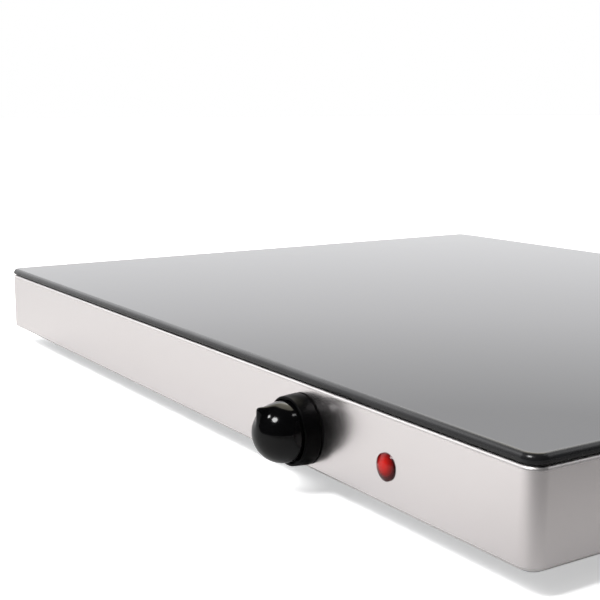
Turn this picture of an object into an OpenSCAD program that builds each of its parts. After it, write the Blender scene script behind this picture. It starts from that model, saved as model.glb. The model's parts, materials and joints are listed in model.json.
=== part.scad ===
// Glass-topped electric hot plate with a thermostat knob and a pilot lamp on its front face.
// Millimetres. The origin is on the surface it stands on, under the middle of its outline.
// X runs to the right, Y to the back and Z up. The front face looks along -Y.

/* [Overall] */
// Width of the plate, left to right
plate_w = 600; // [480:5:760]
// Depth of the plate, front to back
plate_d = 480; // [390:5:620]
// Height of the steel face
face_h = 42; // [42:1:60]
// Height of the rubber feet
foot_h = 11; // [9:1:20]
// Corner radius of the casing and the glass in plan
corner_r = 8; // [6:0.5:14]

/* [Glass] */
// Thickness of the glass
glass_t = 4; // [3.5:0.5:6]
// Rounding of the top edge of the glass
glass_edge_r = 3; // [0.5:0.25:3.25]
// Thickness of the silicone bed under the glass
seal_t = 1; // [0.6:0.2:2]
// How far the silicone bed stands back from the edge
seal_inset = 2.5; // [1:0.5:4]
// Width of the silicone bed
seal_w = 9; // [6:0.5:11]

/* [Sheet metal] */
// Sheet thickness of the steel casing
sheet = 1.2; // [0.8:0.1:2]
// Outer radius of the casing's folds
fold_r = 1.6; // [1:0.2:3]
// Width of the casing's inward flange and lip
flange_w = 14; // [13:0.5:20]
// Sheet thickness of the base plate
base_t = 1; // [0.8:0.1:2]
// How far the base plate stands back from the casing's outline
base_inset = 3; // [2:0.5:5]
// Sheet thickness of the reflector tray and its rails
tray_t = 0.8; // [0.6:0.1:1.5]

/* [Controls] */
// Distance of the knob from the right-hand end
knob_from_right = 160; // [140:1:220]
// Distance of the knob's centre below the top of the steel face
knob_drop = 23; // [22:0.5:26]
// Distance of the lamp from the right-hand end
lamp_from_right = 91.5; // [70:0.5:110]
// Distance of the lamp's centre below the top of the steel face
lamp_drop = 24; // [16:0.5:28]
// Radius of the knob's skirt
skirt_r = 18; // [16.6:0.2:21]
// How far the skirt's front ring stands out from the panel
skirt_h = 9.2; // [7:0.1:10]
// Radius of the knob's domed nose
nose_r = 15.2; // [14.8:0.1:15.6]
// Length of the straight part of the nose in front of the skirt
nose_straight = 2.5; // [2:0.5:8]
// Radius of the pilot lamp's lens
lens_r = 6.5; // [6:0.1:9]
// Radius of the thermostat spindle
spindle_r = 3; // [2.5:0.1:3.5]
// Radial running clearance of the spindle in its bush
spindle_gap = 0.06; // [0.02:0.01:0.1]

/* [Heating] */
// Radius of the sheathed heating element
element_r = 3.25; // [2.5:0.05:4]
// Number of straight runs of the heating element
runs = 6; // [4:2:8]
// Thickness of the aluminium heat spreader
spreader_t = 1.5; // [1:0.5:3]
// Thickness of the insulation board
board_t = 14; // [8:1:20]

/* [Cable entry] */
// Distance of the cable gland from the right-hand end
gland_from_right = 38; // [34:1:50]
// Radius of the hole in the gland's rubber sleeve
cord_r = 3.75; // [3:0.25:4.25]

/* [Hidden] */
$fn = 64;
slip = 0.1;        // clearance between a fixed piece and the hole it passes through
wire_r = 1.2;      // outer radius of the insulated wires
wire_bend = 3;     // bend radius of the insulated wires
fine_wire_r = 0.8; // outer radius of the lamp's leads

base_z = foot_h;
case_z = base_z + base_t;
case_top = case_z + face_h;
glass_z = case_top + seal_t;
half_w = plate_w / 2;
half_d = plate_d / 2;

knob_x = half_w - knob_from_right;
knob_z = case_top - knob_drop;
lamp_x = half_w - lamp_from_right;
lamp_z = case_top - lamp_drop;
wall_in = half_d - sheet;

// Knob, measured outwards from the panel
knob_gap = 0.6;
nose_c = skirt_h + nose_straight;
nose_tip = nose_c + nose_r;
beak_tip = nose_tip - 0.6;
cavity_r = nose_r - 1;
hub_r = 6;
hub_start = 5.6;
cavity_end = nose_c + 2;
bore_end = cavity_end + 3.4;
flat_depth = 1.5;

// Thermostat, measured from the panel
bush_r = 5;
bush_reach = 5;
nut_h = 2.5;
nut_flats = 14;
mount_plate_t = 1.5;
case_w = 42;
case_hgt = 34;
case_depth = 28;
case_wall = 2;
cam_r = 9;
cam_t = 3;
lug_r = 12.4;
stop_r = 13.4;
plate_back = wall_in - mount_plate_t;
case_back = plate_back - case_depth;
tab_len = 8;
live_tab = [knob_x - 10, knob_z - 2];
load_tab = [knob_x + 8, knob_z + 9];
lamp_tab = [knob_x + 18, lamp_z];

// Heated zone: the reflector tray and the spreader over it
tray_l = -half_w + 28;
tray_r = half_w - 72;
tray_f = -half_d + 58;
tray_b = half_d - 24;
spreader_z = glass_z - spreader_t;
tray_rim = spreader_z - 0.2;
element_z = spreader_z - element_r;
board_top = spreader_z - 2 * element_r - 1;
board_z = board_top - board_t;
tray_z = board_z - tray_t;
run_front = tray_f + 52;
run_pitch = (tray_b - 46 - run_front) / (runs - 1);
run_left = tray_l + 18;
run_right = tray_r - 18;
element_end = tray_r + 5;
bush_len = 7;
pin_end = element_end + bush_len + 6;
run_back = run_front + run_pitch * (runs - 1);

bulb_r = 3;
bulb_z = spreader_z - bulb_r;
bulb_y = tray_f + 22;
bulb_l = knob_x - 100;
bulb_end = knob_x - 20;
cutout_x = tray_r - 33;
cutout_y = run_front + run_pitch / 2;
cutout_r = 8;
strap_t = 0.8;
cutout_h = 7;
cutout_tab_y = 4;
cutout_tab_x = cutout_x + cutout_r + 3;

// Cable entry and connections
gland_x = half_w - gland_from_right;
gland_z = case_z + face_h / 2;
thread_r = 8;
block_y = half_d - 90;
block_w = 36;
block_d = 20;
block_h = 16;
pole_pitch = 10;
pole_z = case_z + 8;
pole_r = 2.6;
block_front = block_y - block_d / 2;
stud_x = gland_x + pole_pitch;
stud_y = block_front - 50;
gland_reach = 21;

// The outline reaches from the knob's nose to the gland's cap, so the plate is set back a little
plate_y = (nose_tip - gland_reach) / 2;

foot_in = 50;
foot_r = 13;
foot_places = [[-1, -1], [1, -1], [-1, 1], [1, 1]];
foot_seat = 6;

// ---------- shared shapes ----------

// Everything is drawn about the middle of the plate and then set back by plate_y
module set_back() {
    translate([0, plate_y, 0]) children();
}

// Sweeps a section round a rounded rectangle: the section's x points outwards from the
// outline and its y points up
module around(w, d, r) {
    for (i = [0:3]) {
        a = i % 2 == 0 ? w / 2 : d / 2;
        b = i % 2 == 0 ? d / 2 : w / 2;
        rotate([0, 0, 90 * i]) {
            translate([r - a, b, 0]) rotate([90, 0, 90]) linear_extrude(2 * (a - r)) children();
            translate([a - r, b - r, 0]) rotate_extrude(angle = 90) translate([r, 0]) children();
        }
    }
}

module rounded_rect(w, d, r) {
    square([w - 2 * r, d], center = true);
    square([w, d - 2 * r], center = true);
    for (x = [r - w / 2, w / 2 - r], y = [r - d / 2, d / 2 - r])
        translate([x, y]) circle(r);
}

// A flat frame between two rounded rectangles
module flat_frame(w, d, r, inner_w, inner_d, inner_r, t) {
    linear_extrude(t) difference() {
        rounded_rect(w, d, r);
        rounded_rect(inner_w, inner_d, inner_r);
    }
}

// Puts a shape that points along +Z on the front panel, pointing out of it
module on_front(x, z) {
    translate([x, -half_d, z]) rotate([90, 0, 0]) children();
}

// Puts a shape that points along +Z on the rear wall, pointing out of it
module on_rear(x, z) {
    translate([x, half_d, z]) rotate([-90, 0, 0]) children();
}

module ring(outer, inner, h) {
    difference() {
        cylinder(r = outer, h = h);
        translate([0, 0, -1]) cylinder(r = inner, h = h + 2);
    }
}

module hexagon(flats, h) {
    cylinder(d = flats / cos(30), h = h, $fn = 6);
}

module hex_nut(flats, bore_r, h) {
    difference() {
        hexagon(flats, h);
        translate([0, 0, -1]) cylinder(r = bore_r, h = h + 2);
    }
}

// A pan-headed screw, head down, with its seat at z = 0
module pan_screw(shank_r, head_r, head_h, len) {
    cylinder(r = shank_r, h = len);
    translate([0, 0, -head_h]) difference() {
        cylinder(r1 = head_r * 0.8, r2 = head_r, h = head_h);
        translate([0, 0, -1]) cylinder(r = head_r * 0.4, h = head_h * 0.4 + 1, $fn = 6);
    }
}

function unit(v) = v / norm(v);

// A round rod through points whose corners are all right angles, bent to the given radius
module bent_rod(points, bend, r) {
    last = len(points) - 1;
    for (i = [0:last - 1]) {
        dir = unit(points[i + 1] - points[i]);
        from = points[i] + dir * (i == 0 ? 0 : bend);
        to = points[i + 1] - dir * (i == last - 1 ? 0 : bend);
        if (norm(to - from) > 0.01)
            translate(from) rotate([0, acos(dir.z), atan2(dir.y, dir.x)])
                cylinder(r = r, h = norm(to - from), $fn = 24);
    }
    for (i = [1:1:last - 1]) {
        u = unit(points[i] - points[i - 1]);
        v = unit(points[i + 1] - points[i]);
        w = cross(u, v);
        c = points[i] + (v - u) * bend;
        multmatrix([
            [-v.x, u.x, w.x, c.x],
            [-v.y, u.y, w.y, c.y],
            [-v.z, u.z, w.z, c.z],
            [0, 0, 0, 1]
        ]) rotate_extrude(angle = 90) translate([bend, 0]) circle(r, $fn = 24);
    }
}

// A strap over a rod that runs along X, with its feet on the plate above the rod
module strap(rod_r, w) {
    gap = 0.1;
    inner = rod_r + gap;
    outer = inner + strap_t;
    rotate([90, 0, 90]) translate([0, 0, -w / 2]) linear_extrude(w) {
        difference() {
            union() {
                circle(outer);
                translate([-outer, 0]) square([2 * outer, rod_r]);
            }
            circle(inner);
            translate([-inner, 0]) square([2 * inner, outer + 1]);
            translate([-outer - 1, rod_r]) square([2 * outer + 2, outer]);
        }
        for (s = [-1, 1])
            translate([s > 0 ? inner : -inner - 7, rod_r - strap_t]) square([7, strap_t]);
    }
}

// ---------- glass, casing and base ----------

module glass_section() {
    translate([-corner_r, 0]) square([corner_r - glass_edge_r, glass_t]);
    translate([-glass_edge_r, 0]) square([glass_edge_r, glass_t - glass_edge_r]);
    translate([-glass_edge_r, glass_t - glass_edge_r]) intersection() {
        circle(glass_edge_r);
        square(glass_edge_r);
    }
}

module glass_top() {
    color("#141416") set_back() translate([0, 0, glass_z]) {
        around(plate_w, plate_d, corner_r) glass_section();
        translate([corner_r - half_w, corner_r - half_d, 0])
            cube([plate_w - 2 * corner_r, plate_d - 2 * corner_r, glass_t]);
    }
}

module glass_seal() {
    inner = seal_inset + seal_w;
    color("#1f1f20") set_back() translate([0, 0, case_top])
        flat_frame(plate_w - 2 * seal_inset, plate_d - 2 * seal_inset, corner_r - seal_inset,
            plate_w - 2 * inner, plate_d - 2 * inner, 3, seal_t);
}

// Quarter of a folded sheet, from its flat part at the top to its upright part at the side
module fold() {
    intersection() {
        difference() {
            circle(fold_r);
            circle(max(fold_r - sheet, 0.2));
        }
        square(fold_r);
    }
}

module wall_section() {
    reach = 5.5;
    translate([-sheet, fold_r]) square([sheet, face_h - 2 * fold_r]);
    translate([-fold_r, face_h - fold_r]) fold();
    translate([-fold_r, fold_r]) mirror([0, 1]) fold();
    translate([-reach, face_h - sheet]) square([reach - fold_r, sheet]);
    translate([-reach, 0]) square([reach - fold_r, sheet]);
}

// Places of the base screws round the lip
screw_in = 9;
screw_rows = [for (x = [-0.85, -0.3, 0.3, 0.85], s = [-1, 1]) [x * half_w, s * (half_d - screw_in)]];
screw_cols = [for (y = [-0.4, 0.4], s = [-1, 1]) [s * (half_w - screw_in), y * half_d]];
screw_places = concat(screw_rows, screw_cols);
screw_r = 1.75;

module housing() {
    inset = 4.5;
    open_w = plate_w - 2 * flange_w;
    open_d = plate_d - 2 * flange_w;
    color("#d3d0cd") set_back() difference() {
        union() {
            translate([0, 0, case_z]) around(plate_w, plate_d, corner_r) wall_section();
            for (z = [case_z, case_top - sheet])
                translate([0, 0, z]) flat_frame(plate_w - 2 * inset, plate_d - 2 * inset,
                    corner_r - inset, open_w, open_d, 4, sheet);
        }
        on_front(knob_x, knob_z) translate([0, 0, -sheet - 1])
            cylinder(r = bush_r + slip, h = sheet + 2);
        on_front(lamp_x, lamp_z) translate([0, 0, -sheet - 1])
            cylinder(r = lamp_body_r + slip, h = sheet + 2);
        on_rear(gland_x, gland_z) translate([0, 0, -sheet - 1])
            cylinder(r = thread_r + slip, h = sheet + 2);
        for (p = screw_places)
            translate([p.x, p.y, case_z - 1]) cylinder(r = screw_r + 0.02, h = sheet + 2, $fn = 32);
    }
}

module vent_row(x, y, count) {
    for (i = [0:count - 1])
        translate([x + i * 10, y, base_z - 1]) linear_extrude(base_t + 2) {
            square([3, 24], center = true);
            for (s = [-1, 1]) translate([0, 12 * s]) circle(1.5, $fn = 24);
        }
}

module base_plate() {
    w = plate_w - 2 * base_inset;
    d = plate_d - 2 * base_inset;
    color("#b9bcbe") set_back() difference() {
        translate([0, 0, base_z]) linear_extrude(base_t) rounded_rect(w, d, corner_r - base_inset);
        for (p = screw_places)
            translate([p.x, p.y, base_z - 1]) cylinder(r = screw_r + 0.3, h = base_t + 2, $fn = 32);
        for (s = foot_places)
            translate([s.x * (half_w - foot_in), s.y * (half_d - foot_in), base_z - 1])
                cylinder(r = 2.2, h = base_t + 2, $fn = 32);
        vent_row(knob_x - 70, 36 - half_d, 6);
        vent_row(knob_x + 40, 36 - half_d, 5);
    }
}

module base_screws() {
    color("#9c9fa2") set_back() for (p = screw_places)
        translate([p.x, p.y, base_z]) pan_screw(screw_r, 3.4, 2, 6, $fn = 32);
}

module foot(i) {
    s = foot_places[i];
    color("#262626") set_back() translate([s.x * (half_w - foot_in), s.y * (half_d - foot_in), 0])
        difference() {
            union() {
                cylinder(r1 = foot_r - 2, r2 = foot_r, h = foot_h - 3);
                translate([0, 0, foot_h - 3]) cylinder(r = foot_r, h = 3);
            }
            translate([0, 0, -1]) cylinder(r = 2.3, h = foot_h + 2, $fn = 32);
            translate([0, 0, -1]) cylinder(r = 5.5, h = foot_seat + 1);
        }
}
module foot_front_left() { foot(0); }
module foot_front_right() { foot(1); }
module foot_rear_left() { foot(2); }
module foot_rear_right() { foot(3); }

module at_feet(z) {
    for (s = foot_places)
        translate([s.x * (half_w - foot_in), s.y * (half_d - foot_in), z]) children();
}

module foot_screws() {
    color("#9c9fa2") set_back() at_feet(foot_seat)
        pan_screw(2, 4, 2.6, foot_h - foot_seat + base_t + 5, $fn = 32);
}

module foot_nuts() {
    color("#a9acae") set_back() at_feet(case_z) hex_nut(7, 2.02, 3.2, $fn = 32);
}

// ---------- heating ----------

module heat_spreader() {
    over = 3;
    color("#c9cbcc") set_back() translate([tray_l - over, tray_f - over, spreader_z])
        cube([tray_r - tray_l + 2 * over, tray_b - tray_f + 2 * over, spreader_t]);
}

// The element's route: out from the right, back and forth, and out to the right again
function run_y(i) = run_front + run_pitch * i;
element_points = concat(
    [[element_end, run_y(0), element_z]],
    [for (i = [0:runs - 2], k = [0, 1])
        [i % 2 == 0 ? run_left : run_right, run_y(i + k), element_z]],
    [[element_end, run_y(runs - 1), element_z]]
);

module heating_element() {
    color("#6f6a66") set_back() bent_rod(element_points, run_pitch / 2, element_r);
}

module at_element_ends(x) {
    for (y = [run_front, run_back]) translate([x, y, element_z]) rotate([0, 90, 0]) children();
}

module element_bushes() {
    color("#e9e6df") set_back() at_element_ends(element_end) cylinder(r = 4.2, h = bush_len);
}

module element_pins() {
    color("#b5b7b8") set_back() at_element_ends(element_end + bush_len)
        cylinder(r = 1.3, h = pin_end - element_end - bush_len, $fn = 32);
}

module element_straps() {
    color("#a9acae") set_back() for (i = [0:runs - 1], f = [0.3, 0.7])
        translate([run_left + (run_right - run_left) * f, run_y(i), element_z])
            strap(element_r, 12);
}

module insulation_board() {
    gap = 0.5;
    slot_w = 16;
    color("#e4ddc8") set_back() difference() {
        translate([tray_l + tray_t + gap, tray_f + tray_t + gap, board_z])
            cube([tray_r - tray_l - 2 * (tray_t + gap), tray_b - tray_f - 2 * (tray_t + gap), board_t]);
        translate([cutout_x, cutout_y, board_z - 1]) cylinder(r = cutout_r + 3, h = board_t + 2);
        translate([cutout_x, cutout_y - slot_w / 2, board_top - 4])
            cube([tray_r - cutout_x + 1, slot_w, 5]);
    }
}

rail_w = 30;
rail_places = [for (f = [0.12, 0.5, 0.88]) tray_l + (tray_r - tray_l) * f];
rivet_ys = [tray_f + 40, tray_b - 40];
rivet_r = 1.6;

module at_rivets(z) {
    for (x = rail_places, y = rivet_ys) translate([x, y, z]) children();
}

module reflector_tray() {
    w = tray_r - tray_l;
    d = tray_b - tray_f;
    entry = 2 * (element_r + 0.4);
    color("#c4c6c7") set_back() difference() {
        translate([tray_l, tray_f, tray_z]) cube([w, d, tray_rim - tray_z]);
        translate([tray_l + tray_t, tray_f + tray_t, board_z])
            cube([w - 2 * tray_t, d - 2 * tray_t, tray_rim - board_z + 1]);
        for (y = [run_front, run_back])
            translate([tray_r - 2, y - entry / 2, element_z - entry / 2]) cube([4, entry, 20]);
        translate([tray_r - 2, cutout_y - 8, board_top]) cube([4, 16, 20]);
        translate([knob_x - 4, tray_f - 1, bulb_z - 3]) cube([8, 4, 20]);
        at_rivets(tray_z - 1) cylinder(r = rivet_r + 0.05, h = tray_t + 2, $fn = 32);
    }
}

module tray_rails() {
    h = tray_z - case_z;
    foot_w = 8;
    color("#b9bcbe") set_back() difference() {
        for (x = rail_places) translate([x, tray_b, case_z]) rotate([90, 0, 0])
            linear_extrude(tray_b - tray_f) difference() {
                union() {
                    square([rail_w, 2 * h], center = true);
                    square([rail_w + 2 * foot_w, 2 * tray_t], center = true);
                }
                square([rail_w - 2 * tray_t, 2 * (h - tray_t)], center = true);
                translate([-rail_w, -h - 1]) square([2 * rail_w, h + 1]);
            }
        at_rivets(tray_z - tray_t - 1) cylinder(r = rivet_r + 0.05, h = tray_t + 2, $fn = 32);
    }
}

module tray_rivets() {
    head = 0.6;
    color("#a9acae") set_back() at_rivets(tray_z - tray_t - head) {
        cylinder(r = rivet_r + 1, h = head, $fn = 32);
        cylinder(r = rivet_r, h = 2 * tray_t + head, $fn = 32);
    }
}

// ---------- thermostat ----------

// Part of a ring between two angles, counted from the top and turning clockwise as seen
// from in front of the panel
module ring_sector(inner, outer, from, to, h) {
    rotate([0, 0, 90 - to]) rotate_extrude(angle = to - from)
        translate([inner, 0]) square([outer - inner, h]);
}

// The cam's lug and the fixed stop leave the spindle free to turn through 270 degrees
lug_half = 18;
stop_half = 24;
lug_at = 180 + lug_half + stop_half + 2;

module thermostat_plate() {
    color("#b4b7b9") set_back() difference() {
        union() {
            translate([knob_x - 23, -wall_in, knob_z - 17.5]) cube([46, mount_plate_t, 35]);
            on_front(knob_x, knob_z) translate([0, 0, -sheet - 0.5])
                cylinder(r = bush_r, h = sheet + 0.5 + bush_reach);
            on_front(knob_x, knob_z) translate([0, 0, -half_d + plate_back - cam_t - 1])
                ring_sector(cam_r + 0.5, stop_r, 180 - stop_half, 180 + stop_half, cam_t + 1.5);
        }
        on_front(knob_x, knob_z) translate([0, 0, -sheet - mount_plate_t - 1])
            cylinder(r = spindle_r + spindle_gap, h = sheet + mount_plate_t + bush_reach + 2);
    }
}

module thermostat_case() {
    color("#3a2a22") set_back() difference() {
        translate([knob_x - case_w / 2, -plate_back, knob_z - case_hgt / 2])
            cube([case_w, case_depth, case_hgt]);
        translate([knob_x - case_w / 2 + case_wall, -plate_back - 1, knob_z - case_hgt / 2 + case_wall])
            cube([case_w - 2 * case_wall, case_depth - case_wall + 1, case_hgt - 2 * case_wall]);
        translate([knob_x, -case_back - case_wall - 1, knob_z]) rotate([-90, 0, 0])
            cylinder(r = capillary_r + 0.3, h = case_wall + 2, $fn = 32);
    }
}

// The D-shaped length of the spindle starts where the knob's hub grips it
spindle_back = half_d - plate_back + cam_t + 6;

module thermostat_spindle() {
    tip = bore_end - 0.6;
    color("#c8c9ca") set_back() on_front(knob_x, knob_z) difference() {
        translate([0, 0, -spindle_back]) cylinder(r = spindle_r, h = spindle_back + tip);
        translate([-spindle_r - 1, spindle_r - flat_depth, hub_start - 0.3])
            cube([2 * spindle_r + 2, spindle_r, tip]);
    }
}

module thermostat_cam() {
    color("#c9a652") set_back() on_front(knob_x, knob_z)
        translate([0, 0, -half_d + plate_back - cam_t - 0.7]) {
            ring(cam_r, spindle_r + 0.02, cam_t);
            ring_sector(cam_r - 1, lug_r, lug_at - lug_half, lug_at + lug_half, cam_t);
        }
}

module thermostat_nut() {
    color("#b4b7b9") set_back() on_front(knob_x, knob_z)
        hex_nut(nut_flats, bush_r + 0.02, nut_h);
}

module thermostat_tabs() {
    color("#c9a652") set_back() for (t = [live_tab, load_tab, lamp_tab])
        translate([t.x - 0.4, -case_back, t.y - 3.15]) cube([0.8, tab_len, 6.3]);
}

capillary_r = 0.9;
capsule_t = 4;

module diaphragm_capsule() {
    color("#c9a652") set_back() translate([knob_x, -case_back - case_wall - capsule_t, knob_z])
        rotate([-90, 0, 0]) cylinder(r = 9, h = capsule_t);
}

// The capillary leaves the capsule, rises behind the thermostat and meets the bulb
capillary_turn = -case_back + 12;
capillary_points = [
    [knob_x, -case_back - case_wall, knob_z],
    [knob_x, capillary_turn, knob_z],
    [knob_x, capillary_turn, bulb_z],
    [knob_x, bulb_y, bulb_z],
    [bulb_end, bulb_y, bulb_z]
];

module capillary_tube() {
    color("#b0703c") set_back() bent_rod(capillary_points, 5, capillary_r);
}

module sensor_bulb() {
    color("#b0703c") set_back() translate([bulb_l, bulb_y, bulb_z]) rotate([0, 90, 0])
        cylinder(r = bulb_r, h = bulb_end - bulb_l);
}

module bulb_straps() {
    color("#a9acae") set_back() for (x = [bulb_l + 15, bulb_end - 15])
        translate([x, bulb_y, bulb_z]) strap(bulb_r, 8);
}

module thermal_cutout() {
    color("#2b2b2c") set_back() translate([cutout_x, cutout_y, spreader_z - strap_t - cutout_h]) {
        cylinder(r = cutout_r, h = cutout_h);
        for (s = [-1, 1]) translate([0, s * cutout_tab_y - 1.5, element_z - spreader_z + strap_t + cutout_h - 0.4])
            cube([cutout_tab_x - cutout_x, 3, 0.8]);
    }
}

module cutout_bracket() {
    color("#a9acae") set_back() translate([cutout_x, cutout_y, spreader_z - strap_t])
        linear_extrude(strap_t) {
            circle(cutout_r + 1);
            square([10, 36], center = true);
        }
}

// ---------- knob ----------

groove_w = 1.2;
groove_depth = 2;
skirt_edge_r = 0.8;

// Half section of the knob: x is the radius and y the distance from the panel
module knob_section() {
    difference() {
        union() {
            translate([0, knob_gap]) square([skirt_r - skirt_edge_r, skirt_h - knob_gap]);
            translate([0, knob_gap]) square([skirt_r, skirt_h - knob_gap - skirt_edge_r]);
            translate([skirt_r - skirt_edge_r, skirt_h - skirt_edge_r]) circle(skirt_edge_r, $fn = 32);
            translate([0, skirt_h - 1]) square([nose_r, nose_c - skirt_h + 1]);
            intersection() {
                translate([0, nose_c]) circle(nose_r);
                translate([0, nose_c]) square([nose_r, nose_r]);
            }
        }
        translate([nose_r, skirt_h - groove_depth]) square([groove_w, groove_depth + 1]);
        translate([hub_r, -1]) square([cavity_r - hub_r, 6 + 1]);
        translate([hub_r, 0]) square([cavity_r - 2 - hub_r, cavity_end]);
        translate([-1, -1]) square([hub_r + 1.5, hub_start + 1]);
    }
}

// The beak on top of the nose, in side view: x is the distance from the panel and y is up
module beak_outline() {
    top = nose_r - 0.9;
    tip_r = 1.2;
    polygon([
        [nose_c - 1, nose_r - 3], [nose_c + 3, nose_r + 0.3], [nose_c + 6.8, top + 0.4],
        [nose_c + 9.7, top], [beak_tip - tip_r, top], [beak_tip - tip_r, top - tip_r],
        [beak_tip, top - tip_r], [beak_tip, 4], [nose_c + 4, 3]
    ]);
    translate([beak_tip - tip_r, top - tip_r]) circle(tip_r, $fn = 32);
}

beak_w = 3.4;

module knob_body() {
    color("#0d0d0e") set_back() on_front(knob_x, knob_z) difference() {
        union() {
            rotate_extrude() knob_section();
            rotate([90, 0, 90]) translate([0, 0, -beak_w / 2])
                linear_extrude(beak_w) mirror([1, -1]) beak_outline();
        }
        difference() {
            translate([0, 0, hub_start - 1]) cylinder(r = spindle_r + 0.04, h = bore_end - hub_start + 1);
            translate([-spindle_r - 1, spindle_r - flat_depth + 0.04, hub_start - 2])
                cube([2 * spindle_r + 2, spindle_r, bore_end]);
        }
    }
}

module knob_spring() {
    color("#a9acae") set_back() on_front(knob_x, knob_z) translate([0, 0, hub_start + 1])
        ring(hub_r + 0.7, hub_r + 0.02, 5);
}

// ---------- pilot lamp ----------

lamp_body_r = 5.05;
lens_rim = 0.6;
lens_rise = 1.9;
lamp_len = 22;

module lamp_lens() {
    dome_r = (lens_r * lens_r + lens_rise * lens_rise) / (2 * lens_rise);
    color("#b01818") set_back() on_front(lamp_x, lamp_z) rotate_extrude() {
        square([lens_r, lens_rim]);
        intersection() {
            translate([0, lens_rim + lens_rise - dome_r]) circle(dome_r);
            translate([0, lens_rim]) square([lens_r, lens_rise]);
        }
    }
}

module lamp_body() {
    color("#8f1616") set_back() on_front(lamp_x, lamp_z) translate([0, 0, -lamp_len]) difference() {
        cylinder(r = lamp_body_r, h = lamp_len);
        translate([0, 0, 2]) cylinder(r = lamp_body_r - 1, h = lamp_len);
    }
}

module lamp_neon() {
    color("#e8b48a") set_back() on_front(lamp_x, lamp_z) translate([0, 0, 2 - lamp_len]) {
        cylinder(r = 2.5, h = 13);
        translate([0, 0, 13]) sphere(r = 2.5);
    }
}

module lamp_clip() {
    color("#a9acae") set_back() on_front(lamp_x, lamp_z) translate([0, 0, -sheet - 0.8])
        ring(8.5, lamp_body_r + 0.02, 0.8);
}

// ---------- cable entry ----------

gland_flats = 20;
entry_gap = 1.25;

module gland_body() {
    color("#1c1c1d") set_back() on_rear(gland_x, gland_z) difference() {
        union() {
            translate([0, 0, -12]) cylinder(r = thread_r, h = 12);
            hexagon(gland_flats, 5);
            translate([0, 0, 5]) cylinder(r = 7.5, h = 9);
        }
        translate([0, 0, -13]) cylinder(r = cord_r + entry_gap, h = 30);
        translate([0, 0, 8]) cylinder(r = 6.2, h = 7);
    }
}

module gland_locknut() {
    color("#1c1c1d") set_back() on_rear(gland_x, gland_z) translate([0, 0, -sheet - 5])
        hex_nut(22, thread_r + 0.03, 5);
}

module gland_cap() {
    color("#1c1c1d") set_back() on_rear(gland_x, gland_z) difference() {
        union() {
            translate([0, 0, 5.3]) hexagon(gland_flats, 11);
            translate([0, 0, 16.3]) cylinder(r1 = gland_flats / 2, r2 = 7.5, h = gland_reach - 16.3);
        }
        translate([0, 0, 4]) cylinder(r = 7.55, h = 11);
        translate([0, 0, 4]) cylinder(r = 6.25, h = 13.5);
        translate([0, 0, 4]) cylinder(r = cord_r + entry_gap, h = gland_reach);
    }
}

module gland_seal() {
    color("#3a3a3b") set_back() on_rear(gland_x, gland_z) translate([0, 0, 8])
        ring(6.15, cord_r, 9);
}

// ---------- connections ----------

module at_poles(z) {
    for (i = [-1:1]) translate([gland_x + i * pole_pitch, block_y, z]) children();
}

module terminal_block() {
    color("#e9e6df") set_back() difference() {
        translate([gland_x - block_w / 2, block_front, case_z]) cube([block_w, block_d, block_h]);
        at_poles(pole_z) rotate([90, 0, 0]) translate([0, 0, -block_d])
            cylinder(r = pole_r, h = 2 * block_d, $fn = 32);
        at_poles(pole_z) for (s = [-1, 1]) translate([0, 5 * s, 0]) cylinder(r = 2.1, h = block_h, $fn = 32);
    }
}

module terminal_screws() {
    color("#c9a652") set_back() at_poles(pole_z + pole_r + 0.4) for (s = [-1, 1])
        translate([0, 5 * s, 0]) difference() {
            cylinder(r = 2.02, h = 3.6, $fn = 32);
            translate([-3, -0.3, 2.8]) cube([6, 0.6, 2]);
        }
}

tag_t = 0.8;

module earth_stud() {
    color("#a9acae") set_back() translate([stud_x, stud_y, case_z]) cylinder(r = 2, h = 12, $fn = 32);
}

module earth_nut() {
    color("#c9a652") set_back() translate([stud_x, stud_y, case_z + tag_t]) hex_nut(7, 2.02, 3.2, $fn = 32);
}

// Wires run in the channels in front of the tray and to the right of it
pole_in = block_front + 5;
live_row = -case_back + tab_len + 10;
link_x = pin_end + 12;
switched_x = pin_end - 6;
neutral_turn = block_front - 14;
lamp_back = lamp_len - half_d;

live_points = [
    [gland_x - pole_pitch, pole_in, pole_z],
    [gland_x - pole_pitch, live_row + 20, pole_z],
    [gland_x - pole_pitch, live_row + 20, live_tab.y],
    [gland_x - pole_pitch, live_row, live_tab.y],
    [live_tab.x, live_row, live_tab.y],
    [live_tab.x, live_row - 10, live_tab.y]
];
module live_wire() {
    color("#6b3a1e") set_back() bent_rod(live_points, wire_bend, wire_r);
}

switched_points = [
    [load_tab.x, -case_back + tab_len, load_tab.y],
    [load_tab.x, live_row, load_tab.y],
    [switched_x, live_row, load_tab.y],
    [switched_x, cutout_y - cutout_tab_y, load_tab.y],
    [switched_x, cutout_y - cutout_tab_y, element_z],
    [cutout_tab_x, cutout_y - cutout_tab_y, element_z]
];
module switched_wire() {
    color("#d8d6cf") set_back() bent_rod(switched_points, wire_bend, wire_r);
}

link_points = [
    [cutout_tab_x, cutout_y + cutout_tab_y, element_z],
    [link_x, cutout_y + cutout_tab_y, element_z],
    [link_x, run_front, element_z],
    [pin_end, run_front, element_z]
];
module element_link_wire() {
    color("#d8d6cf") set_back() bent_rod(link_points, wire_bend, wire_r);
}

neutral_points = [
    [gland_x - 1.3, pole_in, pole_z],
    [gland_x - 1.3, neutral_turn, pole_z],
    [gland_x - 1.3, neutral_turn, element_z],
    [gland_x - 1.3, run_back, element_z],
    [pin_end, run_back, element_z]
];
module neutral_wire() {
    color("#2d4f86") set_back() bent_rod(neutral_points, wire_bend, wire_r);
}

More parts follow.
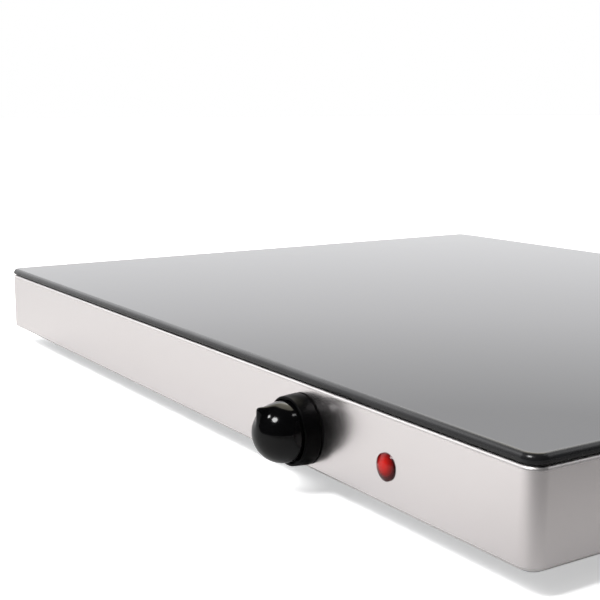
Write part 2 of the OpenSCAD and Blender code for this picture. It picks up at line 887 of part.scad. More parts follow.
lamp_neutral_points = [
    [gland_x + 1.4, pole_in, pole_z],
    [gland_x + 1.4, lamp_back + 12, pole_z],
    [lamp_x + 2, lamp_back + 12, pole_z],
    [lamp_x + 2, lamp_back + 12, lamp_z],
    [lamp_x + 2, lamp_back, lamp_z]
];
lamp_live_points = [
    [lamp_x - 2, lamp_back, lamp_z],
    [lamp_x - 2, live_row - 4, lamp_z],
    [lamp_tab.x, live_row - 4, lamp_z],
    [lamp_tab.x, -case_back + tab_len, lamp_z]
];
module lamp_leads() {
    color("#d8d6cf") set_back() {
        bent_rod(lamp_neutral_points, 3, fine_wire_r);
        bent_rod(lamp_live_points, 3, fine_wire_r);
    }
}

tag_z = case_z + tag_t + wire_r - 0.2;
earth_points = [
    [stud_x, pole_in, pole_z],
    [stud_x, stud_y + 25, pole_z],
    [stud_x, stud_y + 25, tag_z],
    [stud_x, stud_y + 8, tag_z]
];
module earth_wire() {
    color("#5d8a2c") set_back() {
        bent_rod(earth_points, 3, wire_r);
        translate([stud_x, stud_y, case_z]) difference() {
            union() {
                cylinder(r = 4.5, h = tag_t);
                translate([-2, 0, 0]) cube([4, 12, tag_t]);
            }
            translate([0, 0, -1]) cylinder(r = 2.1, h = tag_t + 2, $fn = 32);
        }
    }
}

glass_top();
glass_seal();
housing();
base_plate();
base_screws();
foot_front_left();
foot_front_right();
foot_rear_left();
foot_rear_right();
foot_screws();
foot_nuts();
heat_spreader();
heating_element();
element_bushes();
element_pins();
element_straps();
insulation_board();
reflector_tray();
tray_rails();
tray_rivets();
thermostat_plate();
thermostat_case();
thermostat_spindle();
thermostat_cam();
thermostat_nut();
thermostat_tabs();
diaphragm_capsule();
capillary_tube();
sensor_bulb();
bulb_straps();
thermal_cutout();
cutout_bracket();
knob_body();
knob_spring();
lamp_lens();
lamp_body();
lamp_neon();
lamp_clip();
gland_body();
gland_locknut();
gland_cap();
gland_seal();
terminal_block();
terminal_screws();
earth_stud();
earth_nut();
live_wire();
switched_wire();
element_link_wire();
neutral_wire();
lamp_leads();
earth_wire();
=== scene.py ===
"""Glass-topped electric hot plate: a black glass top on a folded steel casing, with a round
thermostat knob and a red pilot lamp on its front face. Metres, Z up, front face along -Y."""
import json
from math import asin, atan2, cos, degrees, exp, hypot, pi, radians, sin

import bmesh
import bpy
from mathutils import Matrix, Vector


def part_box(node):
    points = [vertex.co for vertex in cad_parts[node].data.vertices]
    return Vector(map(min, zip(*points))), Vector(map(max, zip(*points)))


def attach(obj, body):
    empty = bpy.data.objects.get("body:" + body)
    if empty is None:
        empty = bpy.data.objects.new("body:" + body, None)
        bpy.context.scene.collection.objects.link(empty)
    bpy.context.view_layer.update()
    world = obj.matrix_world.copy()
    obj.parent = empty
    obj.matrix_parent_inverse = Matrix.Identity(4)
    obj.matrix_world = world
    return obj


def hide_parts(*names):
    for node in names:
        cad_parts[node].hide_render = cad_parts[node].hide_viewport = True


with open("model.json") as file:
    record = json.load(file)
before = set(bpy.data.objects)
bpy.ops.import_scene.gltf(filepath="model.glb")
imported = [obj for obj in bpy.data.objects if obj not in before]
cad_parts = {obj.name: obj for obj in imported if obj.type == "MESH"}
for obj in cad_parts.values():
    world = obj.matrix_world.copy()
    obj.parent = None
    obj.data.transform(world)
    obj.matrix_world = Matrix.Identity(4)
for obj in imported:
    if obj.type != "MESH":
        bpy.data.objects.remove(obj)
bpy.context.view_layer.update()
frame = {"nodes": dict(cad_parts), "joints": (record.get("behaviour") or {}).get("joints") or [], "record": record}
MM = 0.001

CASING_LOW, CASING_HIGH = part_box("housing")
GLASS_LOW, GLASS_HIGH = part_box("glass_top")
KNOB_AXIS = Vector(frame["joints"][0]["pos_m"])
CORNER_R = 8 * MM
GLASS_ROUND, GLASS_ARRIS = 3 * MM, 0.3 * MM
FOLD_R = 1.6 * MM
SHEET_T = 1.2 * MM
FLANGE_W = 14 * MM
BUSH_HOLE_R, LAMP_HOLE_R, GLAND_HOLE_R = 5.1 * MM, 5.15 * MM, 8.1 * MM
FLAT = 0.995  # a face whose normal has more of Z than this counts as flat
BOX_DISTANCE = 1.6  # from the knob to each soft box
BRIGHTEST = 2.8  # the backdrop's strength where it is brightest


def middle(node):
    low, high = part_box(node)
    return (low + high) / 2


# ---------- camera, light and floor ----------

def set_camera():
    lens = bpy.data.cameras.new("camera")
    lens.sensor_width = 36
    lens.lens = 67.4
    lens.clip_start = 0.02
    camera = bpy.data.objects.new("camera", lens)
    camera.location = (0.59195, -0.52762, 0.1868)
    looks_down, turned_left = 9.65, 57.4
    camera.rotation_euler = (radians(90 - looks_down), 0, radians(turned_left))
    bpy.context.scene.collection.objects.link(camera)
    bpy.context.scene.camera = camera


def add_softbox(name, bearing, height, size, radiance, tint=(1.0, 1.0, 1.0)):
    """A soft box that faces the knob. Its bearing counts from the back round to the left, its height
    is an angle above level, and both are in degrees."""
    way = Vector((-sin(radians(bearing)) * cos(radians(height)),
                  cos(radians(bearing)) * cos(radians(height)), sin(radians(height))))
    lamp = bpy.data.lights.new(name, "AREA")
    lamp.shape = "ELLIPSE"
    lamp.size, lamp.size_y = size
    lamp.energy = radiance * pi * pi / 4 * size[0] * size[1]
    lamp.color = tint
    box = bpy.data.objects.new(name, lamp)
    box.location = KNOB_AXIS + BOX_DISTANCE * way
    box.rotation_euler = (-way).to_track_quat("-Z", "Y").to_euler()
    bpy.context.scene.collection.objects.link(box)


def add_room_light():
    """Even light from above that brightens the floor without showing in the gloss."""
    lamp = bpy.data.lights.new("room_light", "SUN")
    lamp.energy = 3.7
    lamp.angle = radians(50)
    sun = bpy.data.objects.new("room_light", lamp)
    sun.rotation_euler = (radians(28), radians(-18), 0)
    sun.visible_glossy = False
    bpy.context.scene.collection.objects.link(sun)


def grey_ramp(tree, stops, interpolation="LINEAR"):
    """A ramp of greys through pairs of (position, grey)."""
    node = tree.nodes.new("ShaderNodeValToRGB")
    node.color_ramp.interpolation = interpolation
    elements = node.color_ramp.elements
    while len(elements) < len(stops):
        elements.new(1.0)
    for element, (position, grey) in zip(elements, stops):
        element.position = position
        element.color = (grey, grey, grey, 1)
    return node


def backdrop_amount(tree):
    """How bright the backdrop is in each direction: 1 at its brightest, 0 in the dark of the room."""
    link = tree.links.new
    direction = tree.nodes.new("ShaderNodeTexCoord").outputs["Generated"]
    height = tree.nodes.new("ShaderNodeSeparateXYZ")
    link(direction, height.inputs["Vector"])
    facing = tree.nodes.new("ShaderNodeVectorMath")
    facing.operation = "DOT_PRODUCT"
    facing.inputs[1].default_value = (-0.8, 0.6, 0)
    link(direction, facing.inputs[0])
    on_backdrop = tree.nodes.new("ShaderNodeMapRange")
    on_backdrop.interpolation_type = "SMOOTHSTEP"
    on_backdrop.inputs["From Min"].default_value = -0.05
    on_backdrop.inputs["From Max"].default_value = 0.30
    link(facing.outputs["Value"], on_backdrop.inputs["Value"])
    levels = ((0.0, 1.30), (0.18, 1.30), (0.26, 1.12), (0.32, 1.5),
              (0.48, BRIGHTEST), (0.64, BRIGHTEST), (0.72, 0.0))
    brightness = grey_ramp(tree, [(z, level / BRIGHTEST) for z, level in levels])
    link(height.outputs["Z"], brightness.inputs["Fac"])
    amount = tree.nodes.new("ShaderNodeMath")
    amount.operation = "MULTIPLY"
    link(on_backdrop.outputs["Result"], amount.inputs[0])
    link(brightness.outputs["Color"], amount.inputs[1])
    return amount.outputs["Value"]


def light_studio():
    """A white backdrop behind and to the left, a dark room elsewhere, and three soft boxes."""
    world = bpy.data.worlds.new("studio")
    world.use_nodes = True
    bpy.context.scene.world = world
    tree = world.node_tree
    link = tree.links.new
    shade = tree.nodes.new("ShaderNodeMix")
    shade.data_type = "RGBA"
    shade.inputs["A"].default_value = (0.012, 0.012, 0.013, 1)
    shade.inputs["B"].default_value = (0.985, 0.985, 1, 1)
    link(backdrop_amount(tree), shade.inputs["Factor"])
    room = tree.nodes["Background"]
    room.inputs["Strength"].default_value = BRIGHTEST
    link(shade.outputs["Result"], room.inputs["Color"])
    paper = tree.nodes.new("ShaderNodeBackground")
    paper.inputs["Color"].default_value = (1, 1, 1, 1)
    seen = tree.nodes.new("ShaderNodeMixShader")
    link(tree.nodes.new("ShaderNodeLightPath").outputs["Is Camera Ray"], seen.inputs["Fac"])
    link(room.outputs["Background"], seen.inputs[1])
    link(paper.outputs["Background"], seen.inputs[2])
    link(seen.outputs["Shader"], tree.nodes["World Output"].inputs["Surface"])
    add_softbox("key_box", bearing=-170, height=55, size=(0.48, 0.48), radiance=34)
    add_softbox("back_box", bearing=42, height=54, size=(1.1, 1.0), radiance=2.6, tint=(1.0, 0.94, 0.76))
    add_softbox("side_box", bearing=-27, height=58, size=(0.24, 0.15), radiance=8)
    add_room_light()
    bpy.context.scene.view_settings.view_transform = "Standard"


def floor_finish():
    """Pale paper on a light table: it glows a little to the camera, and in a gloss its colour is painted darker,
    most of all between about 0.5 and 0.6 m along X, as painted shade.
    """
    paper = bpy.data.materials.new("floor_paper")
    paper.use_nodes = True
    tree = paper.node_tree
    link = tree.links.new
    shader = tree.nodes["Principled BSDF"]
    shader.inputs["Roughness"].default_value = 0.6
    shader.inputs["Emission Color"].default_value = (1, 1, 1, 1)
    ray = tree.nodes.new("ShaderNodeLightPath")
    glow = tree.nodes.new("ShaderNodeMath")
    glow.operation = "MULTIPLY"
    glow.inputs[1].default_value = 0.5
    link(ray.outputs["Is Camera Ray"], glow.inputs[0])
    link(glow.outputs["Value"], shader.inputs["Emission Strength"])
    along = tree.nodes.new("ShaderNodeSeparateXYZ")
    link(tree.nodes.new("ShaderNodeTexCoord").outputs["Object"], along.inputs["Vector"])
    # painted shade: the floor seen in a gloss is painted darker along X, darkest a little past 0.5 m
    painted_shade_in_gloss = grey_ramp(tree, ((0.15, 0.36), (0.52, 0.10), (0.62, 0.12), (0.95, 0.42)), "EASE")
    link(along.outputs["X"], painted_shade_in_gloss.inputs["Fac"])
    seen = tree.nodes.new("ShaderNodeMix")
    seen.data_type = "RGBA"
    seen.inputs["A"].default_value = (0.86, 0.86, 0.86, 1)
    link(painted_shade_in_gloss.outputs["Color"], seen.inputs["B"])
    link(ray.outputs["Is Glossy Ray"], seen.inputs["Factor"])
    link(seen.outputs["Result"], shader.inputs["Base Color"])
    return paper


def lay_floor():
    bm = bmesh.new()
    bmesh.ops.create_grid(bm, x_segments=1, y_segments=1, size=20)
    mesh = bpy.data.meshes.new("floor")
    bm.to_mesh(mesh)
    bm.free()
    mesh.materials.append(floor_finish())
    floor = bpy.data.objects.new("floor", mesh)
    bpy.context.scene.collection.objects.link(floor)


# ---------- finishes ----------

def new_finish(name, roughness=0.4, metallic=0.0):
    finish = bpy.data.materials.new(name)
    finish.use_nodes = True
    shader = finish.node_tree.nodes["Principled BSDF"]
    shader.inputs["Roughness"].default_value = roughness
    shader.inputs["Metallic"].default_value = metallic
    return finish, finish.node_tree, shader


def grain(tree, scale, stretch=(1, 1, 1), detail=3.0):
    """Noise in the piece's own coordinates, drawn out along an axis by a small stretch."""
    place = tree.nodes.new("ShaderNodeTexCoord")
    lay = tree.nodes.new("ShaderNodeMapping")
    lay.inputs["Scale"].default_value = stretch
    noise = tree.nodes.new("ShaderNodeTexNoise")
    noise.inputs["Scale"].default_value = scale
    noise.inputs["Detail"].default_value = detail
    tree.links.new(place.outputs["Object"], lay.inputs["Vector"])
    tree.links.new(lay.outputs["Vector"], noise.inputs["Vector"])
    return noise.outputs["Fac"]


def vary_colour(tree, shader, amount, dark, light):
    mix = tree.nodes.new("ShaderNodeMix")
    mix.data_type = "RGBA"
    mix.inputs["A"].default_value = (*dark, 1)
    mix.inputs["B"].default_value = (*light, 1)
    tree.links.new(amount, mix.inputs["Factor"])
    tree.links.new(mix.outputs["Result"], shader.inputs["Base Color"])


def vary_roughness(tree, shader, amount, low, high):
    spread = tree.nodes.new("ShaderNodeMapRange")
    spread.inputs["From Min"].default_value = 0.3
    spread.inputs["From Max"].default_value = 0.7
    spread.inputs["To Min"].default_value = low
    spread.inputs["To Max"].default_value = high
    tree.links.new(amount, spread.inputs["Value"])
    tree.links.new(spread.outputs["Result"], shader.inputs["Roughness"])


def add_relief(tree, shader, amount, depth, strength=1.0):
    bump = tree.nodes.new("ShaderNodeBump")
    bump.inputs["Distance"].default_value = depth
    bump.inputs["Strength"].default_value = strength
    tree.links.new(amount, bump.inputs["Height"])
    tree.links.new(bump.outputs["Normal"], shader.inputs["Normal"])


def black_glass_finish():
    """Polished black glass, with a trace of smearing in its gloss."""
    finish, tree, shader = new_finish("black_glass")
    shader.inputs["IOR"].default_value = 1.5
    vary_colour(tree, shader, grain(tree, 6), (0.004, 0.004, 0.0045), (0.007, 0.007, 0.008))
    vary_roughness(tree, shader, grain(tree, 9, (1, 3, 1)), 0.02, 0.05)
    return finish


def ground_edge_finish():
    """The glass's rounded edge, ground and polished to a satin."""
    finish, tree, shader = new_finish("glass_edge")
    shader.inputs["IOR"].default_value = 1.4
    vary_colour(tree, shader, grain(tree, 60), (0.005, 0.005, 0.0055), (0.008, 0.008, 0.0085))
    vary_roughness(tree, shader, grain(tree, 90), 0.24, 0.30)
    return finish


def satin_steel_finish():
    """Satin stainless steel, finely brushed along its length."""
    finish, tree, shader = new_finish("satin_steel", metallic=1.0)
    brushed = grain(tree, 60, (0.6, 40, 40), 5)
    vary_colour(tree, shader, brushed, (0.86, 0.815, 0.815), (0.90, 0.855, 0.855))
    vary_roughness(tree, shader, brushed, 0.21, 0.25)
    add_relief(tree, shader, grain(tree, 90, (0.5, 30, 30), 4), 0.004 * MM, 0.3)
    return finish


def fold_shaded_finish():
    """The same steel along its folds, rougher there, and with its colour darkened as painted shade to dim the
    fold's bright line.
    """
    finish, tree, shader = new_finish("steel_fold", metallic=1.0)
    brushed = grain(tree, 60, (0.6, 40, 40), 5)
    # painted shade: the folds take a darker copy of the steel's colour
    vary_colour(tree, shader, brushed, (0.76, 0.73, 0.72), (0.80, 0.77, 0.76))
    vary_roughness(tree, shader, brushed, 0.42, 0.50)
    return finish


def metal_finish(name, dark, light, low, high, scale):
    """Bare or coated metal with a fine, even mottle."""
    finish, tree, shader = new_finish(name, metallic=1.0)
    mottle = grain(tree, scale)
    vary_colour(tree, shader, mottle, dark, light)
    vary_roughness(tree, shader, mottle, low, high)
    add_relief(tree, shader, grain(tree, 3 * scale), 0.03 * MM, 0.5)
    return finish


def galvanised_finish():
    """Hot-dipped zinc with its small crystals."""
    finish, tree, shader = new_finish("galvanised", metallic=1.0)
    place = tree.nodes.new("ShaderNodeTexCoord")
    crystals = tree.nodes.new("ShaderNodeTexVoronoi")
    crystals.inputs["Scale"].default_value = 160
    tree.links.new(place.outputs["Object"], crystals.inputs["Vector"])
    tone = tree.nodes.new("ShaderNodeSeparateColor")
    tree.links.new(crystals.outputs["Color"], tone.inputs["Color"])
    vary_colour(tree, shader, tone.outputs["Red"], (0.42, 0.44, 0.46), (0.60, 0.62, 0.64))
    vary_roughness(tree, shader, tone.outputs["Green"], 0.35, 0.5)
    add_relief(tree, shader, crystals.outputs["Distance"], 0.03 * MM, 0.4)
    return finish


def moulded_finish(name, dark, light, low, high, depth, scale):
    """Moulded plastic, ceramic or rubber, with a fine skin where it has a depth, in millimetres."""
    finish, tree, shader = new_finish(name)
    vary_colour(tree, shader, grain(tree, scale / 6), dark, light)
    vary_roughness(tree, shader, grain(tree, scale / 3), low, high)
    if depth:
        add_relief(tree, shader, grain(tree, scale), depth * MM, 0.6)
    return finish


def knob_finish():
    """Glossy black phenolic, polished in the mould."""
    finish, tree, shader = new_finish("knob_black")
    shader.inputs["Specular IOR Level"].default_value = 0.22
    vary_colour(tree, shader, grain(tree, 150), (0.0008, 0.0008, 0.0009), (0.0016, 0.0016, 0.0018))
    vary_roughness(tree, shader, grain(tree, 300), 0.10, 0.13)
    return finish


def skirt_finish():
    """The same moulding, with a finely textured skin."""
    finish, tree, shader = new_finish("knob_skirt")
    shader.inputs["Specular IOR Level"].default_value = 0.05
    vary_colour(tree, shader, grain(tree, 150), (0.0008, 0.0008, 0.0009), (0.0014, 0.0014, 0.0016))
    vary_roughness(tree, shader, grain(tree, 300), 0.34, 0.42)
    add_relief(tree, shader, grain(tree, 1600), 0.03 * MM, 0.5)
    return finish


def fibre_board_finish():
    """Pressed mineral fibre: short pale fibres lying flat."""
    finish, tree, shader = new_finish("mineral_board")
    fibres = grain(tree, 220, (1, 5, 12), 6)
    vary_colour(tree, shader, fibres, (0.66, 0.58, 0.42), (0.88, 0.83, 0.70))
    vary_roughness(tree, shader, fibres, 0.8, 0.95)
    add_relief(tree, shader, fibres, 0.3 * MM)
    return finish


def lens_finish():
    """Clear red moulding, with a painted glow and painted shade: its colour is painted brightest near its upper
    centre and fades to deep maroon round the rim.
    """
    finish, tree, shader = new_finish("lens_red")
    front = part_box("lamp_lens")[0].y
    painted_glow_centre = middle("lamp_lens") + Vector((0.6, 0, 1.5)) * MM
    shader.inputs["IOR"].default_value = 1.49
    shader.inputs["Specular IOR Level"].default_value = 0.12
    shader.inputs["Transmission Weight"].default_value = 0.35
    place = tree.nodes.new("ShaderNodeTexCoord")
    away = tree.nodes.new("ShaderNodeVectorMath")
    away.operation = "DISTANCE"
    away.inputs[1].default_value = (painted_glow_centre.x, front, painted_glow_centre.z)
    tree.links.new(place.outputs["Object"], away.inputs[0])
    painted_glow_falloff = tree.nodes.new("ShaderNodeMapRange")
    painted_glow_falloff.interpolation_type = "SMOOTHSTEP"
    painted_glow_falloff.inputs["From Min"].default_value = 1.0 * MM
    painted_glow_falloff.inputs["From Max"].default_value = 6.9 * MM
    tree.links.new(away.outputs["Value"], painted_glow_falloff.inputs["Value"])
    # painted glow and shade: bright red at the glow's centre, deep maroon towards the rim
    vary_colour(tree, shader, painted_glow_falloff.outputs["Result"], (0.46, 0.012, 0.009), (0.045, 0.003, 0.004))
    vary_roughness(tree, shader, grain(tree, 500), 0.08, 0.14)
    return finish


def neon_finish():
    finish, tree, shader = new_finish("neon_glass", roughness=0.05)
    shader.inputs["Transmission Weight"].default_value = 0.9
    vary_colour(tree, shader, grain(tree, 200), (0.92, 0.72, 0.58), (0.98, 0.82, 0.70))
    return finish


def earth_wire_finish():
    """Green insulation with yellow stripes."""
    finish, tree, shader = new_finish("wire_green", roughness=0.45)
    place = tree.nodes.new("ShaderNodeTexCoord")
    stripes = tree.nodes.new("ShaderNodeTexWave")
    stripes.inputs["Scale"].default_value = 120
    tree.links.new(place.outputs["Object"], stripes.inputs["Vector"])
    vary_colour(tree, shader, stripes.outputs["Fac"], (0.05, 0.25, 0.04), (0.75, 0.65, 0.05))
    vary_roughness(tree, shader, grain(tree, 300), 0.4, 0.55)
    return finish


# Name, darkest and lightest colour, lowest and highest roughness, and the mottle's scale
METALS = (
    ("zinc", (0.55, 0.57, 0.58), (0.72, 0.73, 0.73), 0.18, 0.3, 140),
    ("aluminium", (0.70, 0.71, 0.72), (0.82, 0.83, 0.84), 0.25, 0.4, 60),
    ("element_sheath", (0.10, 0.085, 0.075), (0.24, 0.20, 0.17), 0.4, 0.6, 90),
    ("aluminised", (0.50, 0.51, 0.52), (0.66, 0.67, 0.68), 0.3, 0.45, 200),
    ("spindle_steel", (0.52, 0.52, 0.53), (0.68, 0.68, 0.69), 0.2, 0.32, 140),
    ("brass", (0.62, 0.44, 0.16), (0.80, 0.60, 0.26), 0.2, 0.35, 140),
    ("copper", (0.55, 0.24, 0.11), (0.78, 0.40, 0.22), 0.22, 0.4, 140),
    ("spring_steel", (0.36, 0.36, 0.37), (0.52, 0.52, 0.53), 0.25, 0.4, 140),
)
# Name, darkest and lightest colour, lowest and highest roughness, and the skin's depth and scale
MOULDINGS = (
    ("silicone", (0.05, 0.05, 0.052), (0.07, 0.07, 0.072), 0.5, 0.65, 0.02, 900),
    ("foot_rubber", (0.012, 0.012, 0.012), (0.024, 0.024, 0.024), 0.6, 0.75, 0.05, 900),
    ("ceramic", (0.80, 0.77, 0.70), (0.90, 0.88, 0.83), 0.45, 0.6, 0.03, 900),
    ("brown_moulding", (0.035, 0.016, 0.010), (0.06, 0.03, 0.02), 0.35, 0.5, 0.02, 900),
    ("lamp_red", (0.28, 0.012, 0.012), (0.38, 0.022, 0.020), 0.4, 0.55, 0, 900),
    ("gland_nylon", (0.010, 0.010, 0.010), (0.020, 0.020, 0.020), 0.38, 0.52, 0.04, 1400),
    ("gland_rubber", (0.018, 0.018, 0.019), (0.032, 0.032, 0.033), 0.6, 0.75, 0.03, 900),
    ("black_moulding", (0.012, 0.012, 0.012), (0.025, 0.025, 0.025), 0.35, 0.5, 0.02, 900),
    ("wire_brown", (0.12, 0.040, 0.018), (0.20, 0.075, 0.030), 0.4, 0.55, 0, 900),
    ("wire_white", (0.68, 0.66, 0.61), (0.80, 0.78, 0.74), 0.4, 0.55, 0, 900),
    ("wire_blue", (0.025, 0.09, 0.30), (0.05, 0.15, 0.42), 0.4, 0.55, 0, 900),
)


def make_finishes():
    """The finish of every material slot, and those of the glass's edge, the folds and the skirt."""
    finishes = {
        "black_glass": black_glass_finish(),
        "glass_edge": ground_edge_finish(),
        "steel": satin_steel_finish(),
        "steel_fold": fold_shaded_finish(),
        "galvanised": galvanised_finish(),
        "mineral_board": fibre_board_finish(),
        "knob_black": knob_finish(),
        "knob_skirt": skirt_finish(),
        "lens_red": lens_finish(),
        "neon_glass": neon_finish(),
        "wire_green": earth_wire_finish(),
    }
    finishes |= {metal[0]: metal_finish(*metal) for metal in METALS}
    finishes |= {moulding[0]: moulded_finish(*moulding) for moulding in MOULDINGS}
    return finishes


def finish_cad_nodes():
    slots = {part["node"]: part["material_slot"] for part in frame["record"]["subparts"]}
    for name, node in frame["nodes"].items():
        for place in node.material_slots:
            place.material = FINISHES[slots[name]]


# ---------- shaping ----------

def once_each(items):
    """The items in their own order, without repeats."""
    return list(dict.fromkeys(items))


def arc(centre, radius, start, end, steps):
    """Points on an arc, from one angle to another in degrees."""
    turns = [radians(start + (end - start) * i / steps) for i in range(steps + 1)]
    return [(centre[0] + radius * cos(t), centre[1] + radius * sin(t)) for t in turns]


def turned(profile, steps=96):
    """A closed turning about +Z from points (radius, height), in millimetres."""
    bm = bmesh.new()
    verts = [bm.verts.new((r * MM, 0, z * MM)) for r, z in profile]
    edges = [bm.edges.new(pair) for pair in zip(verts, verts[1:])]
    bmesh.ops.spin(bm, geom=verts + edges, axis=(0, 0, 1), cent=(0, 0, 0), angle=2 * pi,
                   steps=steps, use_merge=True)
    bmesh.ops.remove_doubles(bm, verts=bm.verts, dist=1e-6)
    bmesh.ops.recalc_face_normals(bm, faces=bm.faces)
    return bm


def box_between(low, high):
    bm = bmesh.new()
    bmesh.ops.create_cube(bm, size=1)
    size = Vector(high) - Vector(low)
    bmesh.ops.scale(bm, vec=size, verts=bm.verts)
    bmesh.ops.translate(bm, vec=(Vector(high) + Vector(low)) / 2, verts=bm.verts)
    return bm


def round_off(bm, edges, radius, segments):
    bmesh.ops.bevel(bm, geom=edges, offset=radius, segments=segments, profile=0.5,
                    affect="EDGES", material=-1, clamp_overlap=True)


def upright_edges(bm):
    return [e for e in bm.edges if abs(e.verts[0].co.z - e.verts[1].co.z) > 1e-4]


def edges_at(bm, z):
    return [e for e in bm.edges if all(abs(v.co.z - z) < 1e-6 for v in e.verts)]


def on_front(bm, x, z):
    """Stands a piece made along +Z on the front face, pointing out of it."""
    turn = Matrix.Rotation(pi / 2, 4, "X")
    bmesh.ops.transform(bm, matrix=Matrix.Translation((x, CASING_LOW.y, z)) @ turn, verts=bm.verts)


def add_piece(name, bm, slot, body, *replaced, edge=None, angle=35):
    """A piece in the finish of its slot; the faces numbered 1 have the edge finish."""
    mesh = bpy.data.meshes.new(name)
    bm.to_mesh(mesh)
    bm.free()
    mesh.shade_smooth()
    mesh.set_sharp_from_angle(angle=radians(angle))
    mesh.materials.append(FINISHES[slot])
    if edge:
        mesh.materials.append(FINISHES[edge])
    piece = bpy.data.objects.new(name, mesh)
    bpy.context.scene.collection.objects.link(piece)
    even = piece.modifiers.new("even_shading", "WEIGHTED_NORMAL")
    even.keep_sharp = True
    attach(piece, body)
    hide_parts(*replaced)


# ---------- pieces ----------

def shape_glass():
    """A slab with round corners, a well rounded top edge and a small arris below.
    Its edge faces are numbered 1."""
    bm = box_between(GLASS_LOW, GLASS_HIGH)
    round_off(bm, upright_edges(bm), CORNER_R, 16)
    round_off(bm, edges_at(bm, GLASS_HIGH.z), GLASS_ROUND, 12)
    round_off(bm, edges_at(bm, GLASS_LOW.z), GLASS_ARRIS, 2)
    bm.normal_update()
    for face in bm.faces:
        face.material_index = 0 if face.normal.z > FLAT else 1
    return bm


def drill(bm, centre, radius, cell=12 * MM):
    """A round hole in a flat wall that faces along Y, bridged to a square cell cut round it."""
    for axis in (0, 2):
        for side in (-cell, cell):
            wall = [f for f in bm.faces if abs(f.calc_center_median().y - centre.y) < 1e-6]
            geom = wall + once_each(e for f in wall for e in f.edges)
            geom += once_each(v for f in wall for v in f.verts)
            cut = centre.copy()
            cut[axis] += side
            normal = Vector((0, 0, 0))
            normal[axis] = 1
            bmesh.ops.bisect_plane(bm, geom=geom, plane_co=cut, plane_no=normal, dist=1e-7)
    patch = min(bm.faces, key=lambda f: (f.calc_center_median() - centre).length)
    outline = list(patch.edges)
    bmesh.ops.delete(bm, geom=[patch], context="FACES_ONLY")
    turn = Matrix.Translation(centre) @ Matrix.Rotation(pi / 2, 4, "X")
    rim = bmesh.ops.create_circle(bm, segments=48, radius=radius, matrix=turn)["verts"]
    rim_edges = once_each(e for v in rim for e in v.link_edges)
    bmesh.ops.bridge_loops(bm, edges=outline + rim_edges)


def shape_casing():
    """A folded steel tray, open above and below inside its flanges. Its folds are numbered 1."""
    bm = box_between(CASING_LOW, CASING_HIGH)
    round_off(bm, upright_edges(bm), CORNER_R, 16)
    for z in (CASING_HIGH.z, CASING_LOW.z):
        round_off(bm, edges_at(bm, z), FOLD_R, 8)
    for z in (CASING_HIGH.z, CASING_LOW.z):
        lids = [f for f in bm.faces if abs(f.calc_center_median().z - z) < 1e-6]
        lid = max(lids, key=lambda f: f.calc_area())
        bmesh.ops.inset_region(bm, faces=[lid], thickness=FLANGE_W - FOLD_R, use_even_offset=True)
        bmesh.ops.delete(bm, geom=[lid], context="FACES")
    lamp, gland = middle("lamp_lens"), middle("gland_body")
    drill(bm, Vector((KNOB_AXIS.x, CASING_LOW.y, KNOB_AXIS.z)), BUSH_HOLE_R)
    drill(bm, Vector((lamp.x, CASING_LOW.y, lamp.z)), LAMP_HOLE_R)
    drill(bm, Vector((gland.x, CASING_HIGH.y, gland.z)), GLAND_HOLE_R)
    bmesh.ops.recalc_face_normals(bm, faces=bm.faces)
    bmesh.ops.solidify(bm, geom=bm.faces, thickness=SHEET_T)
    bm.normal_update()
    for face in bm.faces:
        face.material_index = 1 if 0.05 < abs(face.normal.z) < FLAT else 0
    return bm


# Knob, in millimetres: Z is the distance from the panel, Y is up
SKIRT_BASE, SKIRT_R, SKIRT_H, SKIRT_DRAFT = 0.6, 18, 9.2, 0.6
RECESS_R, RECESS_END = 14.2, 6
HOLLOW_R, HOLLOW_END = 12.2, 13.7
HUB_R, HUB_BASE = 6, 5.6
BORE_R, BORE_END = 3.04, 17.1
GROOVE_R, GROOVE_END = 16.15, 7.2
NOSE_R, NOSE_START = 15.2, 11.7
BEAK_TOP, BEAK_FRONT, BEAK_SPREAD = 14.3, 14.6, 2.6
STRIP_HALF_W, STRIP_LOW, STRIP_START = 6.8, 1, 9.5


def shape_knob():
    """A skirted round knob with a groove round its domed nose and a beak on top.
    The skirt's faces are numbered 1."""
    profile = [(0, BORE_END), (BORE_R, BORE_END), (BORE_R, HUB_BASE), (HUB_R, HUB_BASE)]
    profile += [(HUB_R, HOLLOW_END), (HOLLOW_R, HOLLOW_END), (HOLLOW_R, RECESS_END), (RECESS_R, RECESS_END)]
    profile += arc((RECESS_R + 0.2, SKIRT_BASE + 0.2), 0.2, 180, 270, 3)
    profile += arc((SKIRT_R - 0.4, SKIRT_BASE + 0.4), 0.4, 270, 360, 4)
    profile += arc((SKIRT_R - SKIRT_DRAFT - 0.6, SKIRT_H - 0.6), 0.6, 0, 90, 8)
    profile += arc((GROOVE_R + 0.15, SKIRT_H - 0.15), 0.15, 90, 180, 3)
    profile += [(GROOVE_R, GROOVE_END), (NOSE_R, GROOVE_END)]
    profile += [(NOSE_R, z) for z in (9.2, 10, 10.8)]
    profile += arc((0, NOSE_START), NOSE_R, 0, 90, 40)
    bm = turned(profile, 160)
    for face in bm.faces:
        x, y, z = face.calc_center_median() / MM
        face.material_index = 1 if hypot(x, y) > NOSE_R + 0.3 and z < SKIRT_H + 0.1 else 0
    raise_beak(bm)
    on_front(bm, KNOB_AXIS.x, KNOB_AXIS.z)
    return bm


def ease(value, start, end):
    """0 before start, 1 after end and a smooth rise between them."""
    share = min(max((value - start) / (end - start), 0), 1)
    return share ** 3 * (10 - 15 * share + 6 * share * share)


def soft_max(a, b, width):
    """The larger of two values, rounded over where they differ by less than the width."""
    return max(a, b) + max(width - abs(a - b), 0) ** 2 / (4 * width)


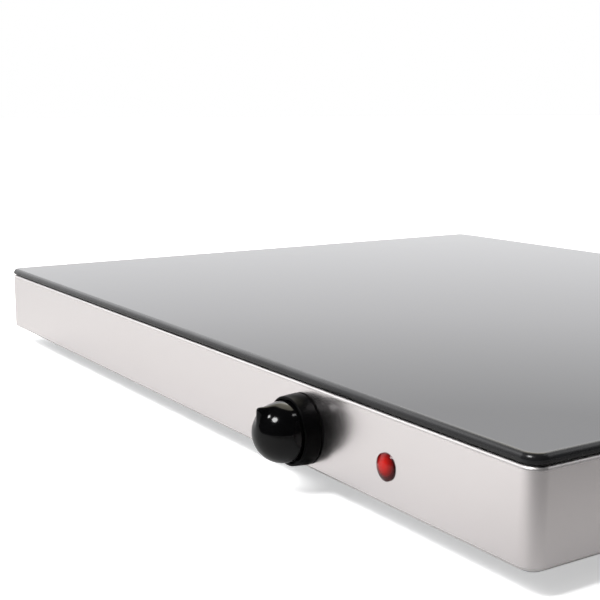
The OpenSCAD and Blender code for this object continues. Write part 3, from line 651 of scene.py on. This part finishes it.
def beak_reach(turn):
    """How far the beak's outline is from the nose's centre, at an angle up from straight ahead."""
    top = BEAK_TOP / sin(turn)
    front = BEAK_FRONT / cos(turn) if turn < radians(80) else 2 * top
    outline = -soft_max(-top, -front, 2.4)
    blend = 2.6 if turn > radians(45) else 1.2
    reach = soft_max(NOSE_R, outline, blend)
    return NOSE_R + (reach - NOSE_R) * ease(turn, radians(4), radians(22))


def on_strip(co):
    """Whether a point of the knob is on the strip of the nose that the beak is drawn from."""
    x, y, z = co / MM
    out = hypot(x, y, max(z - NOSE_START, 0)) > NOSE_R - 0.2
    return abs(x) < STRIP_HALF_W and y > STRIP_LOW and z > STRIP_START and out


def raise_beak(bm):
    """Draws the beak out of the nose's own surface, with hollow flanks."""
    strip = [f for f in bm.faces if on_strip(f.calc_center_median())]
    edges = once_each(e for f in strip for e in f.edges)
    bmesh.ops.subdivide_edges(bm, edges=edges, cuts=3, use_grid_fill=True)
    for v in bm.verts:
        if not on_strip(v.co):
            continue
        x, y, z = v.co / MM
        ahead = z - NOSE_START
        full = NOSE_R / hypot(x, y, max(ahead, 0))
        x, y, ahead = x * full, y * full, ahead * full if ahead > 0 else ahead
        share = exp(-(x / BEAK_SPREAD) ** 2)
        if ahead > 0:
            side = hypot(y, ahead)
            drawn = 1 + (beak_reach(atan2(y, ahead)) - NOSE_R) * share / side
            y, ahead = y * drawn, ahead * drawn
        else:
            y += (beak_reach(pi / 2) - NOSE_R) * share * ease(ahead, -2, 0)
        v.co = Vector((x, y, NOSE_START + ahead)) * MM


def shape_lens():
    """A low hollow dome with a thin rim."""
    low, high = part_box("lamp_lens")
    r = (high.x - low.x) / 2 / MM
    top = (high.y - low.y) / MM
    rim, wall, lip, arris = 0.6, 1.0, 1.4, 0.15
    rise = top - rim
    dome = (r * r + rise * rise) / (2 * rise)
    spread = degrees(asin(r / dome))
    profile = arc((0, top - dome), dome - wall, 90, 90 - spread * 0.8, 12)
    profile += [(r - lip, 0), (r - arris, 0), (r, arris)]
    profile += arc((0, top - dome), dome, 90 - spread, 90, 24)
    bm = turned(profile, 96)
    centre = middle("lamp_lens")
    on_front(bm, centre.x, centre.z)
    return bm


def shape_foot(node):
    """A rubber foot: a cone that widens upwards, with a recess for its screw."""
    centre = middle(node)
    bore_r, recess_r, recess_h, height = 2.3, 5.5, 6, 11
    profile = [(bore_r, recess_h), (recess_r, recess_h), (recess_r, 0.3), (recess_r + 0.3, 0)]
    profile += arc((10.0, 1.0), 1.0, 270, 345, 5)
    profile += arc((12.2, height - 0.8), 0.8, 0, 90, 5)
    profile += [(bore_r, height), (bore_r, recess_h)]
    bm = turned(profile, 64)
    bmesh.ops.translate(bm, vec=(centre.x, centre.y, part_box(node)[0].z), verts=bm.verts)
    return bm


set_camera()
light_studio()
lay_floor()
FINISHES = make_finishes()
finish_cad_nodes()
add_piece("glass_plate", shape_glass(), "black_glass", "chassis", "glass_top", edge="glass_edge")
add_piece("steel_casing", shape_casing(), "steel", "chassis", "housing", edge="steel_fold")
add_piece("thermostat_knob", shape_knob(), "knob_black", "knob", "knob_body", edge="knob_skirt", angle=40)
add_piece("pilot_lens", shape_lens(), "lens_red", "chassis", "lamp_lens")
for place in ("front_left", "front_right", "rear_left", "rear_right"):
    add_piece("rubber_foot_" + place, shape_foot("foot_" + place), "foot_rubber", "chassis", "foot_" + place)
